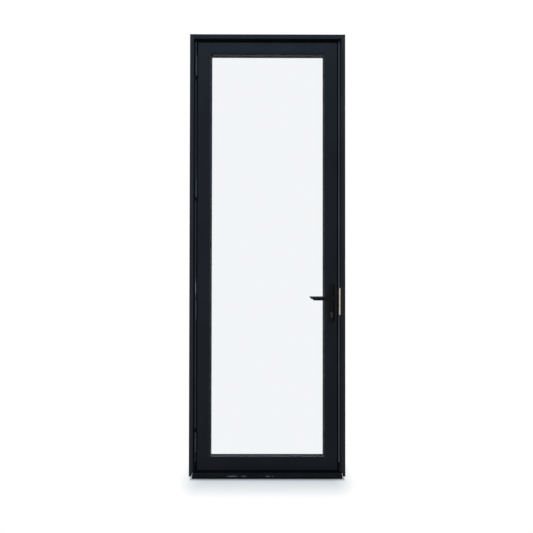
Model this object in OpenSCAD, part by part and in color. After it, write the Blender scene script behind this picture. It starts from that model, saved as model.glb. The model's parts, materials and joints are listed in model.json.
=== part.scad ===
// Tall glazed door in its frame: hollow aluminium jambs, head and sill, a stile-and-rail leaf with one
// double-glazed unit, four butt hinges and a three-point lock worked by a lever on each side.
// X runs to the right, Y away from the viewer and Z up. The origin is on the floor, in the middle of the
// frame's width and in the plane of its front face. The leaf opens towards the viewer.

/* [Frame] */
// Overall width of the frame
frame_w = 890; // [760:5:1100]
// Overall height of the frame
frame_h = 2525; // [2100:5:2800]
// Depth of the frame, front to back
frame_d = 100; // [92:1:130]
// Width of the front lip of a jamb
jamb_lip_w = 22; // [18:0.5:28]
// Height of the front lip of the head
head_lip_h = 25; // [20:0.5:32]
// How far the lips stand in front of the leaf's face
lip_d = 22; // [18:0.5:28]
// Width of the floor between a jamb's lip and its rebate
jamb_floor_w = 11.5; // [10:0.5:16]
// Height of the floor between the head's lip and its rebate
head_floor_h = 3.5; // [3.5:0.5:10]
// How far the stops stand into the doorway
stop_w = 14; // [12:0.5:18]
// Wall of the hollow sections
wall_t = 3; // [2.5:0.1:3.5]
// Wall of the rebate faces and leaf edges, which carry the hinges and the lock
edge_wall = 6; // [5.5:0.1:7]

/* [Sill] */
// How far the nose of the sill stands in front of the frame
sill_nose = 36; // [20:1:50]
// Height of the nose's front face
sill_front_h = 15; // [12:0.5:18]
// Height of the sill under the leaf
sill_top_h = 23; // [21:0.5:28]
// Thickness of the caps on the ends of the nose
sill_cap_t = 3; // [2:0.5:5]

/* [Leaf] */
// Thickness of the leaf
leaf_t = 45; // [43:0.5:52]
// Gap between leaf and jamb on the hinge side
hinge_gap = 4; // [3.5:0.1:5]
// Gap between leaf and jamb on the lock side
lock_gap = 5; // [4.5:0.1:7]
// Gap between leaf and head
head_gap = 4; // [3.5:0.1:6]
// Gap between leaf and sill
sill_gap = 5; // [4:0.1:8]
// Gap between leaf and stops
stop_gap = 4; // [3:0.1:6]
// Width of a stile, without its glazing leg
stile_w = 71; // [70:0.5:90]
// Height of the top rail, without its glazing leg
top_rail_h = 66; // [60:0.5:120]
// Height of the bottom rail, without its glazing leg
bottom_rail_h = 66; // [60:0.5:200]
// Width of the bevel on the leaf's front edges
bevel_w = 6.5; // [3:0.5:8]
// Depth of the bevel on the leaf's front edges
bevel_d = 5; // [2:0.5:6]

/* [Glazing] */
// Width of the glazing beads that is seen
bead_w = 9.5; // [9:0.5:18]
// Width of the glazing legs behind the glass
leg_w = 14; // [9:0.5:18]
// How far the beads stand in front of the leaf's face
bead_proud = 1; // [0.5:0.1:4]
// Radius of the rounded outer edge of a bead
bead_r = 2; // [1.5:0.1:4]
// Thickness of one pane
pane_t = 4; // [3:0.5:6]
// Space between the panes
pane_space = 16; // [12:0.5:16]
// Thickness of the glazing gaskets
gasket_t = 3; // [2:0.1:3.5]
// Gap all round between the glass and its rebate
glass_gap = 3; // [2.5:0.5:4]

/* [Hinges] */
// Height of a hinge
hinge_h = 115; // [80:1:150]
// Diameter of the hinge barrel
barrel_d = 11.5; // [10:0.1:13]
// Diameter of the hinge pin
pin_d = 6; // [5:0.1:7]
// Thickness of the hinge plates
plate_t = 2.5; // [2:0.1:3]
// Width of the hinge plates on jamb and leaf
plate_w = 35; // [28:0.5:40]
// Height of the middle of the lowest hinge
hinge_low_z = 192; // [150:1:300]
// Distance from the frame's top to the middle of the highest hinge
hinge_top_drop = 179; // [140:1:300]

/* [Lock] */
// Distance from the leaf's lock edge to the lever's axis
backset = 38.5; // [38:0.5:40]
// Height of the lever's axis
lever_z = 1010; // [900:1:1100]
// Distance from the lever's axis down to the cylinder's axis
lock_centres = 85; // [84:1:100]
// Size of one tooth, pitch diameter over number of teeth
tooth_module = 2; // [1.8:0.05:2]
// Height of the strike plate
strike_h = 154; // [140:1:200]
// Height of the middle of the strike plate, below the lever's axis
strike_drop = 17; // [10:1:25]
// Thickness of the strike plate and keepers
strike_t = 1.5; // [1.2:0.1:2.5]
// Diameter of the shoot bolts
shoot_d = 10; // [8:0.5:11]

/* [Handle] */
// Width of an escutcheon
escutcheon_w = 32; // [28:1:40]
// Height of an escutcheon
escutcheon_h = 230; // [220:1:260]
// Thickness of an escutcheon
escutcheon_t = 10; // [8:0.5:14]
// Length of a lever from its axis to its tip
lever_l = 120; // [100:1:140]
// Height of a lever's arm
lever_h = 17; // [14:0.5:20]
// Thickness of a lever's arm
lever_t = 12; // [9:0.5:15]
// Clear distance between the leaf's face and a lever's arm
lever_reach = 48; // [40:1:60]
// Diameter of a lever's neck
neck_d = 18; // [16:0.5:22]
// Width of the square spindle
spindle_w = 8; // [7:0.1:9]

/* [Hidden] */
$fn = 48;

// Clearances and the overrun of cuts
run_fit = 0.05;
screw_fit = 0.1;
slide_fit = 0.3;
overrun = 1;

// Colours
coat = [0.09, 0.095, 0.11];
dark_metal = [0.13, 0.13, 0.14];
steel = [0.62, 0.62, 0.63];
rubber = [0.05, 0.05, 0.055];
seal_grey = [0.30, 0.31, 0.33];
clear_glass = [0.80, 0.86, 0.88, 0.35];
tan_metal = [0.77, 0.70, 0.62];

// Frame lines
half_w = frame_w / 2;
jamb_rebate_u = jamb_lip_w + jamb_floor_w;
head_rebate_u = head_lip_h + head_floor_h;
rebate_x = half_w - jamb_rebate_u;
rebate_z = frame_h - head_rebate_u;
stop_x = rebate_x - stop_w;
stop_z = rebate_z - stop_w;

// Leaf lines
leaf_y0 = lip_d;
leaf_y1 = leaf_y0 + leaf_t;
mid_y = (leaf_y0 + leaf_y1) / 2;
stop_y = leaf_y1 + stop_gap;
leaf_x0 = -rebate_x + hinge_gap;
leaf_x1 = rebate_x - lock_gap;
leaf_z0 = sill_top_h + sill_gap;
leaf_z1 = rebate_z - head_gap;
chamber_y0 = leaf_y0 + wall_t;
chamber_y1 = leaf_y1 - wall_t;

// Glazing lines: the bed is the edge of stiles and rails, the sight line the beads' inner edge
bed_x0 = leaf_x0 + stile_w;
bed_x1 = leaf_x1 - stile_w;
bed_z0 = leaf_z0 + bottom_rail_h;
bed_z1 = leaf_z1 - top_rail_h;
bead_seat = 5;
bead_y1 = leaf_y0 + bead_seat;
pane_y0 = bead_y1 + gasket_t;
space_y0 = pane_y0 + pane_t;
space_y1 = space_y0 + pane_space;
pane_y1 = space_y1 + pane_t;
leg_y0 = pane_y1 + gasket_t;
leg_wall = 2.5;
bead_toe = 0.5;
tongue_t = 1.4;
tongue_l = 1.3;
tongue_y = bead_y1 - 2 * tongue_t;
tongue_end = 10;
gasket_lip = 0.5;
seal_band = 2.5;
spacer_wall = 0.6;
block_l = 100;
block_end = 90;
corner_block_l = 40;

// Stop seals
stop_groove_w = 3;
stop_groove_d = 2;
stop_seal_inset = 4.5;
stop_bulb_r = (stop_gap - slide_fit) / 2;

// Gap seals, placed from the rebate's corner
gap_bulb_r = 2;
gap_bulb_shift = 0.2;
gap_flange_l = 3.5;
gap_flange_t = 1.2;
gap_stem_t = 0.8;
gap_stem_d = 2.2;
gap_stem_inset = 3;
gap_seal_low = 16;
gap_seal_cut = 3;

// Hinges
hinge_shares = [0, 0.3482, 0.6706, 1];
hinge_range = frame_h - hinge_top_drop - hinge_low_z;
hinge_zs = [for (share = hinge_shares) hinge_low_z + hinge_range * share];
barrel_r = barrel_d / 2;
pin_r = pin_d / 2;
hinge_x = -rebate_x + hinge_gap / 2;
hinge_y = leaf_y0 - barrel_r - slide_fit;
knuckles = 5;
knuckle_pitch = hinge_h / knuckles;
knuckle_gap = 0.6;
pin_head_h = 1.5;
pin_head_share = 0.75;
hinge_screw_r = 2.2;
hinge_screw_head_r = 4;
hinge_screw_l = 13;
hinge_screw_z_shares = [0.12, 0.37, 0.63, 0.88];
hinge_screw_y_shares = [0.74, 0.42, 0.42, 0.74];

// Fixing of the frame to the wall and of its corners
anchor_r = 4.25;
anchor_y = (leaf_y0 + leaf_y1) / 2;
anchor_outer_share = 0.3564;
anchor_inner_share = 0.0594;
anchor_zs = [for (share = [-anchor_outer_share, -anchor_inner_share, anchor_inner_share, anchor_outer_share])
    frame_h / 2 + frame_h * share];
corner_screw_r = 2.4;
corner_screw_head_r = 4.5;
corner_screw_head_h = 3;
corner_screw_l = 42;
port_r = 4.4;
port_seat_share = 0.8;
port_y_shares = [0.25, 0.78];
port_ys = [for (share = port_y_shares) leaf_y0 + (stop_y - leaf_y0) * share];
head_port_z = frame_h - wall_t - port_r * port_seat_share;
sill_port_z = wall_t + port_r * port_seat_share;

// Sill: its ends lie between the jambs' lips
sill_x = half_w - jamb_lip_w;
sill_upstand_z = leaf_z0 + stop_w;
sill_nose_chamfer = 2;
cap_setback = 1;

// Lock works: the follower's pitch circle carries two rods and the centre bolt
lock_x = leaf_x1 - backset;
cylinder_z = lever_z - lock_centres;
follower_teeth = 18;
follower_r = follower_teeth * tooth_module / 2;
lever_lift = 45;
throw = follower_r * lever_lift * PI / 180;
tooth_up_share = 0.9;
tooth_down_share = 1.25;
tooth_up = tooth_up_share * tooth_module;
tooth_down = tooth_down_share * tooth_module;
tooth_tip_share = 0.18;
tooth_pitch_share = 0.46;
tooth_root_share = 0.62;
tooth_pitch = PI * tooth_module;
works_t = 10;
rod_t = 4.5;
rod_w = 12;
hub_r = 9;
case_wall = 1.5;
case_t = 18;
case_y0 = mid_y - case_t / 2;
case_y1 = mid_y + case_t / 2;
faceplate_t = 3;
faceplate_w = 22;
faceplate_over = 22;
faceplate_x0 = leaf_x1 - faceplate_t;
upper_rod_x = lock_x - follower_r - tooth_down - rod_t;
lower_rod_x = lock_x + follower_r + tooth_down;
case_margin = 1;
case_x0 = upper_rod_x - case_margin - case_wall;
case_below = 34;
case_above = 50;
case_z0 = cylinder_z - case_below;
case_z1 = lever_z + case_above;
bolt_z0 = lever_z + follower_r + tooth_down;
bolt_h = 17.5;
bolt_set = 1;
bolt_x0 = upper_rod_x + rod_t + case_margin;
bolt_x1 = leaf_x1 - bolt_set;
rack_lead = 8;
shoot_r = shoot_d / 2;
shoot_l = 120;
shoot_set = 1;
upper_shoot_x = upper_rod_x + shoot_r;
lower_shoot_x = lower_rod_x + shoot_r;
keeper_l = 34;
keeper_w = 22;
keeper_way = 4 * edge_wall;
keeper_room = 1;
keeper_hole_r = shoot_r + keeper_room;
keeper_screw_r = 1.8;
keeper_screw_head_r = 3.4;
keeper_screw_l = 8;
keeper_screw_share = 0.38;
strike_leg_w = 40;
strike_screw_share = 0.42;
bolt_room = 1.5;
plug_l = 10;

// Profile cylinder
euro_r = 8.5;
euro_tail_r = 5;
euro_h = 33;
euro_proud = 3;
core_r = 6.5;
cam_r = 15;
cam_t = 10;
cam_w = 9;
cam_room = 0.6;
key_slot_w = 2;
key_slot_h = 8;
key_slot_d = 12;
turn_h = 24;
turn_t = 8;
turn_l = 16;
cylinder_screw_r = 2.5;
cylinder_screw_drop = 20;
cylinder_screw_head_r = 4.2;
cylinder_screw_head_h = 2.5;
cylinder_y0 = leaf_y0 - escutcheon_t - euro_proud;
cylinder_y1 = leaf_y1 + escutcheon_t + euro_proud;

// Handle set
escutcheon_bevel = 7;
escutcheon_edge = 5;
escutcheon_rise = 91;
escutcheon_z1 = lever_z + escutcheon_rise;
escutcheon_z0 = escutcheon_z1 - escutcheon_h;
escutcheon_screw_r = 2.5;
escutcheon_screw_head_r = 4.5;
escutcheon_screw_inset = 10;
escutcheon_wall = 2.5;
follower_room = 3;
follower_hole_r = hub_r + follower_room;
socket_d = 22;
neck_r = neck_d / 2;
lever_y1 = leaf_y0 - lever_reach;
lever_y0 = lever_y1 - lever_t;
lever_hub_r = 10;
lever_tip_cut = 14;
lever_tip_h_share = 0.9;
lever_edge = 2;

// Bottom sweep
sweep_t = 3;
sweep_d = 3;
sweep_clear = 0.4;

// Solid between two corners
module span(low, high) {
    translate(low) cube(high - low);
}

// Outline in plan, drawn up from one height to another
module up_z(z0, z1) {
    translate([0, 0, z0]) linear_extrude(z1 - z0) children();
}

// Outline of depth and height, drawn along the width
module along_x(x0, x1) {
    translate([x0, 0, 0]) rotate([90, 0, 90]) linear_extrude(x1 - x0) children();
}

// Outline of width and height, drawn along the depth
module along_y(y0, y1) {
    translate([0, y1, 0]) rotate([90, 0, 0]) linear_extrude(y1 - y0) children();
}

// Round bar from a point along X, Y or Z
module bar_x(point, r, l) {
    translate(point) rotate([0, 90, 0]) cylinder(r = r, h = l);
}

module bar_y(point, r, l) {
    translate(point) rotate([-90, 0, 0]) cylinder(r = r, h = l);
}

module bar_z(point, r, l) {
    translate(point) cylinder(r = r, h = l);
}

// Countersunk screw pointing along +Z, its head's top at the origin
module flat_screw(r, head_r, l, fit = 0) {
    cylinder(r1 = head_r + fit, r2 = r + fit, h = head_r - r);
    cylinder(r = r + fit, h = l + fit);
}

// Mirror image across the middle of the leaf's thickness
module to_back() {
    translate([0, 2 * mid_y, 0]) mirror([0, 1, 0]) children();
}

// Section of a jamb or head: distance in from the outer edge, then depth
module frame_outline(lip, rebate) {
    square([lip, frame_d]);
    translate([0, lip_d]) square([rebate, frame_d - lip_d]);
    translate([0, stop_y]) square([rebate + stop_w, frame_d - stop_y]);
}

module frame_chambers(lip, rebate) {
    translate([wall_t, wall_t]) square([lip - 2 * wall_t, lip_d - wall_t]);
    translate([wall_t, lip_d + wall_t]) square([rebate - edge_wall - wall_t, stop_y - lip_d - wall_t]);
    translate([wall_t, stop_y + wall_t])
        square([rebate + stop_w - 2 * wall_t, frame_d - stop_y - 2 * wall_t]);
}

module frame_grooves(rebate) {
    translate([rebate - gap_stem_inset - screw_fit, lip_d])
        square([gap_stem_t + 2 * screw_fit, gap_stem_d + screw_fit]);
    translate([rebate + stop_w - stop_seal_inset - stop_groove_w / 2 - screw_fit, stop_y])
        square([stop_groove_w + 2 * screw_fit, stop_groove_d]);
}

module frame_section(lip, rebate) {
    difference() {
        frame_outline(lip, rebate);
        frame_chambers(lip, rebate);
        frame_grooves(rebate);
    }
}

// Plan of a jamb at the left, and of its solid outline
module jamb_at_left() {
    translate([-half_w, 0]) children();
}

// Both jambs as solid bars, which the head and sill are coped to
module jamb_bars(z0, z1) {
    for (side = [0, 1]) mirror([side, 0, 0]) up_z(z0, z1) jamb_at_left()
        frame_outline(jamb_lip_w, jamb_rebate_u);
}

// Holes for the wall anchors and the corner screws of one jamb at the left
module jamb_holes() {
    for (z = anchor_zs) bar_x([-half_w - overrun, anchor_y, z], anchor_r, jamb_rebate_u + 2 * overrun);
    for (z = [sill_port_z, head_port_z], y = port_ys) {
        bar_x([-half_w - overrun, y, z], corner_screw_head_r + slide_fit, jamb_rebate_u - edge_wall);
        bar_x([-half_w, y, z], corner_screw_r + screw_fit, jamb_rebate_u + overrun);
    }
}

// Hinge screws, heads towards the gap: side -1 for the jamb, 1 for the leaf
module hinge_screws(side, fit = 0) {
    for (z = hinge_zs, i = [0:len(hinge_screw_z_shares) - 1])
        translate([hinge_x + side * hinge_gap / 2, leaf_y0 + plate_w * hinge_screw_y_shares[i],
            z - hinge_h / 2 + hinge_h * hinge_screw_z_shares[i]])
            rotate([0, side * 90, 0])
            flat_screw(hinge_screw_r, hinge_screw_head_r, hinge_screw_l, fit);
}

// Seat of the hinge plates in jamb or leaf
module hinge_seats(side) {
    edge = hinge_x + side * hinge_gap / 2;
    for (z = hinge_zs)
        span([min(edge, edge + side * plate_t), leaf_y0 - overrun, z - hinge_h / 2],
            [max(edge, edge + side * plate_t), leaf_y0 + plate_w, z + hinge_h / 2]);
}

module hinge_jamb() {
    color(coat) difference() {
        up_z(0, frame_h) jamb_at_left() frame_section(jamb_lip_w, jamb_rebate_u);
        jamb_holes();
        hinge_seats(-1);
        hinge_screws(-1, screw_fit);
    }
}

strike_z = lever_z - strike_drop;
strike_z0 = strike_z - strike_h / 2;
strike_z1 = strike_z + strike_h / 2;
strike_screw_zs = [for (side = [-1, 1]) strike_z + side * strike_h * strike_screw_share];
strike_screw_y = leaf_y0 + strike_leg_w / 2;

module bolt_way(x0, x1, room) {
    span([x0, mid_y - works_t / 2 - room, bolt_z0 - room],
        [x1, mid_y + works_t / 2 + room, bolt_z0 + bolt_h + room]);
}

module strike_screws(fit = 0) {
    for (z = strike_screw_zs) translate([rebate_x, strike_screw_y, z]) rotate([0, 90, 0])
        flat_screw(keeper_screw_r, keeper_screw_head_r, keeper_screw_l, fit);
}

module strike_jamb() {
    color(coat) difference() {
        mirror([1, 0, 0]) difference() {
            up_z(0, frame_h) jamb_at_left() frame_section(jamb_lip_w, jamb_rebate_u);
            jamb_holes();
        }
        span([rebate_x - overrun, leaf_y0 - overrun, strike_z0],
            [rebate_x + strike_t, leaf_y0 + strike_leg_w, strike_z1]);
        bolt_way(rebate_x - overrun, rebate_x + edge_wall + overrun, bolt_room);
        strike_screws(screw_fit);
    }
}

// Screw ports inside the head and sill
module screw_ports(z) {
    for (y = port_ys) difference() {
        bar_x([-rebate_x, y, z], port_r, 2 * rebate_x);
        bar_x([-rebate_x - overrun, y, z], corner_screw_r + screw_fit, 2 * (rebate_x + overrun));
    }
}

// Places of the shoot bolts' keepers: width, face height and the way the screws point
keepers = [[upper_shoot_x, rebate_z, 1], [lower_shoot_x, sill_top_h, -1]];

module keeper_seats() {
    for (keeper = keepers) {
        back = keeper[1] + keeper[2] * strike_t;
        span([keeper[0] - keeper_l / 2, mid_y - keeper_w / 2, min(keeper[1], back)],
            [keeper[0] + keeper_l / 2, mid_y + keeper_w / 2, max(keeper[1], back)]);
        translate([keeper[0], mid_y, keeper[1]]) cylinder(r = keeper_hole_r, h = keeper_way, center = true);
    }
}

module keeper_screw_set(fit = 0) {
    for (keeper = keepers, side = [-1, 1])
        translate([keeper[0] + side * keeper_l * keeper_screw_share, mid_y, keeper[1]])
            rotate([keeper[2] > 0 ? 0 : 180, 0, 0])
            flat_screw(keeper_screw_r, keeper_screw_head_r, keeper_screw_l, fit);
}

module head() {
    color(coat) {
        difference() {
            along_x(-half_w, half_w) translate([0, frame_h]) mirror([0, 1]) rotate(90) mirror([0, 1])
                frame_section(head_lip_h, head_rebate_u);
            jamb_bars(0, frame_h + overrun);
            keeper_seats();
            keeper_screw_set(screw_fit);
        }
        screw_ports(head_port_z);
    }
}

// Section of the sill: depth, then height
module sill_outline() {
    polygon([[-sill_nose, 0], [-sill_nose, sill_front_h - sill_nose_chamfer],
        [-sill_nose + sill_nose_chamfer, sill_front_h], [leaf_y0, sill_top_h], [stop_y, sill_top_h],
        [stop_y, sill_upstand_z], [frame_d, sill_upstand_z], [frame_d, 0]]);
}

module sill_chambers() {
    polygon([[-sill_nose + wall_t, wall_t], [-sill_nose + wall_t, sill_front_h - wall_t],
        [leaf_y0 - wall_t, sill_top_h - wall_t], [leaf_y0 - wall_t, wall_t]]);
    translate([leaf_y0, wall_t]) square([stop_y - leaf_y0 - wall_t, sill_top_h - 2 * wall_t]);
    translate([stop_y + wall_t, wall_t])
        square([frame_d - stop_y - 2 * wall_t, sill_upstand_z - 2 * wall_t]);
}

sill_seal_z = sill_upstand_z - stop_seal_inset;

module sill() {
    color(coat) {
        difference() {
            along_x(-sill_x, sill_x) difference() {
                sill_outline();
                sill_chambers();
                translate([stop_y, sill_seal_z - stop_groove_w / 2 - screw_fit])
                    square([stop_groove_d, stop_groove_w + 2 * screw_fit]);
            }
            jamb_bars(-overrun, sill_upstand_z + overrun);
            keeper_seats();
            keeper_screw_set(screw_fit);
        }
        screw_ports(sill_port_z);
    }
}

module sill_end_caps() {
    color("gainsboro") for (side = [0, 1]) mirror([side, 0, 0])
        along_x(sill_x, sill_x + sill_cap_t) intersection() {
            sill_outline();
            translate([-sill_nose, 0]) square([sill_nose - cap_setback, sill_top_h]);
        }
}

module frame_corner_screws() {
    head_u = jamb_rebate_u - edge_wall - corner_screw_head_h;
    color(steel) for (side = [0, 1]) mirror([side, 0, 0])
        for (z = [sill_port_z, head_port_z], y = port_ys) {
            bar_x([-half_w + head_u, y, z], corner_screw_head_r, corner_screw_head_h);
            bar_x([-half_w + head_u, y, z], corner_screw_r, corner_screw_l);
        }
}

// Stop seal: a foot in the stop's groove and a bulb towards the leaf, in depth then distance
module stop_seal_section() {
    translate([stop_y - stop_bulb_r, 0]) circle(r = stop_bulb_r);
    translate([stop_y - stop_bulb_r, -stop_groove_w / 4])
        square([stop_bulb_r + stop_groove_d / 2, stop_groove_w / 2]);
    translate([stop_y, -stop_groove_w / 2]) square([stop_groove_d - screw_fit, stop_groove_w]);
}

module jamb_stop_seals() {
    color(rubber) for (side = [0, 1]) mirror([side, 0, 0])
        up_z(sill_upstand_z, stop_z)
        translate([-stop_x - stop_seal_inset, 0]) rotate(90) mirror([0, 1]) stop_seal_section();
}

module head_stop_seal() {
    color(rubber) along_x(-stop_x, stop_x) translate([0, stop_z + stop_seal_inset]) stop_seal_section();
}

module sill_stop_seal() {
    color(rubber) along_x(-stop_x, stop_x) translate([0, sill_seal_z]) stop_seal_section();
}

// Gap seal from the rebate's corner: distance towards the leaf, then depth behind the floor
module gap_seal_section() {
    translate([gap_bulb_shift, -gap_bulb_r]) circle(r = gap_bulb_r);
    translate([-gap_flange_l, -gap_flange_t]) square([gap_flange_l + gap_bulb_shift, gap_flange_t]);
    translate([-gap_stem_inset, -gap_flange_t]) square([gap_stem_t, gap_flange_t + gap_stem_d]);
}

module jamb_gap_seal(z0, z1) {
    up_z(z0, z1) translate([-rebate_x, lip_d]) gap_seal_section();
}

gap_seal_z0 = leaf_z0 + gap_seal_low;
gap_seal_z1 = rebate_z - gap_bulb_r - gap_bulb_shift;

module hinge_jamb_gap_seal() {
    reach = hinge_h / 2 + gap_seal_cut;
    starts = concat([gap_seal_z0], [for (z = hinge_zs) z + reach]);
    ends = concat([for (z = hinge_zs) z - reach], [gap_seal_z1]);
    color(seal_grey) for (i = [0:len(starts) - 1]) jamb_gap_seal(starts[i], ends[i]);
}

module strike_jamb_gap_seal() {
    color(seal_grey) mirror([1, 0, 0]) {
        jamb_gap_seal(gap_seal_z0, strike_z0 - gap_seal_cut);
        jamb_gap_seal(strike_z1 + gap_seal_cut, gap_seal_z1);
    }
}

module head_gap_seal() {
    color(rubber) along_x(-rebate_x, rebate_x)
        translate([lip_d, rebate_z]) rotate(-90) gap_seal_section();
}

module strike_plate() {
    color(tan_metal) difference() {
        union() {
            span([rebate_x, leaf_y0 - strike_t, strike_z0],
                [rebate_x + strike_t, leaf_y0 + strike_leg_w, strike_z1]);
            span([rebate_x, leaf_y0 - strike_t, strike_z0],
                [half_w - jamb_lip_w - slide_fit, leaf_y0, strike_z1]);
        }
        bolt_way(rebate_x - overrun, rebate_x + edge_wall, bolt_room);
        strike_screws(screw_fit);
    }
}

module shoot_bolt_keepers() {
    color(steel) difference() {
        for (keeper = keepers) {
            back = keeper[1] + keeper[2] * strike_t;
            span([keeper[0] - keeper_l / 2, mid_y - keeper_w / 2, min(keeper[1], back)],
                [keeper[0] + keeper_l / 2, mid_y + keeper_w / 2, max(keeper[1], back)]);
        }
        for (keeper = keepers) translate([keeper[0], mid_y, keeper[1]])
            cylinder(r = keeper_hole_r, h = keeper_way, center = true);
        keeper_screw_set(screw_fit);
    }
}

module keeper_screws() {
    color(steel) {
        keeper_screw_set();
        strike_screws();
    }
}

// One plate of a hinge with its knuckles: side -1 on the jamb, 1 on the leaf
module hinge_plate(i, side) {
    edge = hinge_x + side * hinge_gap / 2;
    x0 = min(edge, edge + side * plate_t);
    z0 = hinge_zs[i] - hinge_h / 2;
    first = side < 0 ? 0 : 1;
    color(dark_metal) difference() {
        union() {
            span([x0, leaf_y0, z0], [x0 + plate_t, leaf_y0 + plate_w, z0 + hinge_h]);
            for (k = [first:2:knuckles - 1]) {
                k0 = z0 + k * knuckle_pitch + (k > 0 ? knuckle_gap / 2 : 0);
                k1 = z0 + (k + 1) * knuckle_pitch - (k < knuckles - 1 ? knuckle_gap / 2 : 0);
                span([x0, hinge_y, k0], [x0 + plate_t, leaf_y0 + overrun, k1]);
                bar_z([hinge_x, hinge_y, k0], barrel_r, k1 - k0);
            }
        }
        bar_z([hinge_x, hinge_y, z0 - overrun], pin_r + run_fit, hinge_h + 2 * overrun);
        hinge_screws(side, screw_fit);
    }
}

module hinge_1_frame_plate() { hinge_plate(0, -1); }
module hinge_2_frame_plate() { hinge_plate(1, -1); }
module hinge_3_frame_plate() { hinge_plate(2, -1); }
module hinge_4_frame_plate() { hinge_plate(3, -1); }
module hinge_1_leaf_plate() { hinge_plate(0, 1); }
module hinge_2_leaf_plate() { hinge_plate(1, 1); }
module hinge_3_leaf_plate() { hinge_plate(2, 1); }
module hinge_4_leaf_plate() { hinge_plate(3, 1); }

module hinge_pins() {
    color(dark_metal) for (z = hinge_zs) {
        bar_z([hinge_x, hinge_y, z - hinge_h / 2], pin_r, hinge_h + pin_head_h);
        bar_z([hinge_x, hinge_y, z + hinge_h / 2 + run_fit], barrel_r * pin_head_share,
            pin_head_h - run_fit);
    }
}

module hinge_frame_screws() {
    color(steel) hinge_screws(-1);
}

module hinge_leaf_screws() {
    color(steel) hinge_screws(1);
}

// Section of a stile at the left: distance in from the leaf's edge, then depth
module stile_section() {
    difference() {
        polygon([[0, leaf_y1], [0, leaf_y0 + bevel_d], [bevel_w, leaf_y0], [stile_w, leaf_y0],
            [stile_w, leaf_y1]]);
        translate([edge_wall, chamber_y0]) square([stile_w - edge_wall - wall_t, chamber_y1 - chamber_y0]);
        translate([stile_w - tongue_l - screw_fit, tongue_y - screw_fit])
            square([tongue_l + overrun, tongue_t + 2 * screw_fit]);
    }
}

// Glazing leg behind the glass, from the bed inwards
module leg_section() {
    difference() {
        translate([0, leg_y0]) square([leg_w, leaf_y1 - leg_y0]);
        translate([0, leg_y0 + leg_wall]) square([leg_w - leg_wall, leaf_y1 - leg_y0 - 2 * leg_wall]);
    }
}

// Wedge that takes the bevel off the leaf's top front edge
module top_bevel() {
    along_x(leaf_x0 - overrun, leaf_x1 + overrun) polygon([[leaf_y0, leaf_z1 - bevel_w],
        [leaf_y0 - overrun, leaf_z1 - bevel_w], [leaf_y0 - overrun, leaf_z1 + overrun],
        [leaf_y0 + bevel_d, leaf_z1 + overrun], [leaf_y0 + bevel_d, leaf_z1]]);
}

// A stile with its leg, drawn at the left
module plain_stile(edge_x) {
    up_z(leaf_z0, leaf_z1) translate([edge_x, 0]) stile_section();
    up_z(bed_z0, bed_z1) translate([edge_x + stile_w, 0]) leg_section();
}

module hinge_stile() {
    color(coat) difference() {
        plain_stile(leaf_x0);
        top_bevel();
        hinge_seats(1);
        hinge_screws(1, screw_fit);
    }
}

// Outline of a profile cylinder, in width and height
module euro_outline(fit = 0) {
    circle(r = euro_r + fit);
    translate([-euro_tail_r - fit, euro_r - euro_h + euro_tail_r])
        square([2 * (euro_tail_r + fit), euro_h - euro_r - euro_tail_r]);
    translate([0, euro_r - euro_h + euro_tail_r]) circle(r = euro_tail_r + fit);
}

module euro_way(y0, y1, fit) {
    along_y(y0, y1) translate([lock_x, cylinder_z]) euro_outline(fit);
}

escutcheon_screw_zs = [escutcheon_z0 + escutcheon_screw_inset, escutcheon_z1 - escutcheon_screw_inset];

// Screws that draw the two escutcheons together, put in from the back
module escutcheon_screw_set(fit = 0) {
    l = leaf_t + 2 * escutcheon_t - escutcheon_wall - screw_fit;
    for (z = escutcheon_screw_zs) translate([lock_x, leaf_y1 + escutcheon_t, z]) rotate([90, 0, 0])
        flat_screw(escutcheon_screw_r, escutcheon_screw_head_r, l, fit);
}

faceplate_z0 = case_z0 - faceplate_over;
faceplate_z1 = case_z1 + faceplate_over;

module faceplate_screw_set(fit = 0) {
    for (z = [faceplate_z0 + faceplate_over / 2, faceplate_z1 - faceplate_over / 2])
        translate([leaf_x1, mid_y, z]) rotate([0, -90, 0])
        flat_screw(keeper_screw_r, keeper_screw_head_r, keeper_screw_l, fit);
}

module lock_stile() {
    color(coat) difference() {
        mirror([1, 0, 0]) plain_stile(-leaf_x1);
        top_bevel();
        span([faceplate_x0, mid_y - faceplate_w / 2, faceplate_z0],
            [leaf_x1 + overrun, mid_y + faceplate_w / 2, faceplate_z1]);
        span([leaf_x1 - edge_wall - overrun, case_y0 - slide_fit, case_z0 - slide_fit],
            [leaf_x1, case_y1 + slide_fit, case_z1 + slide_fit]);
        faceplate_screw_set(screw_fit);
        euro_way(leaf_y0 - overrun, leaf_y1 + overrun, slide_fit);
        bar_y([lock_x, leaf_y0 - overrun, lever_z], follower_hole_r, leaf_t + 2 * overrun);
        escutcheon_screw_set(screw_fit);
    }
}

// Section of a rail: height from its outer edge towards the glass, then depth
module rail_section(h, bevel) {
    difference() {
        polygon([[0, leaf_y1], [0, leaf_y0 + bevel * bevel_d], [bevel * bevel_w, leaf_y0], [h, leaf_y0],
            [h, leaf_y1]]);
        translate([edge_wall, chamber_y0]) square([h - edge_wall - wall_t, chamber_y1 - chamber_y0]);
        translate([h - tongue_l - screw_fit, tongue_y - screw_fit])
            square([tongue_l + overrun, tongue_t + 2 * screw_fit]);
    }
}

// Swap the two axes of an outline, for rails that run along the width
module swapped() {
    mirror([1, -1]) children();
}

leg_x0 = bed_x0 + leg_w;
leg_x1 = bed_x1 - leg_w;

module top_rail() {
    color(coat) translate([0, 0, leaf_z1]) mirror([0, 0, 1]) {
        along_x(bed_x0, bed_x1) swapped() rail_section(top_rail_h, 1);
        along_x(leg_x0, leg_x1) swapped() translate([top_rail_h, 0]) leg_section();
    }
}

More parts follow.
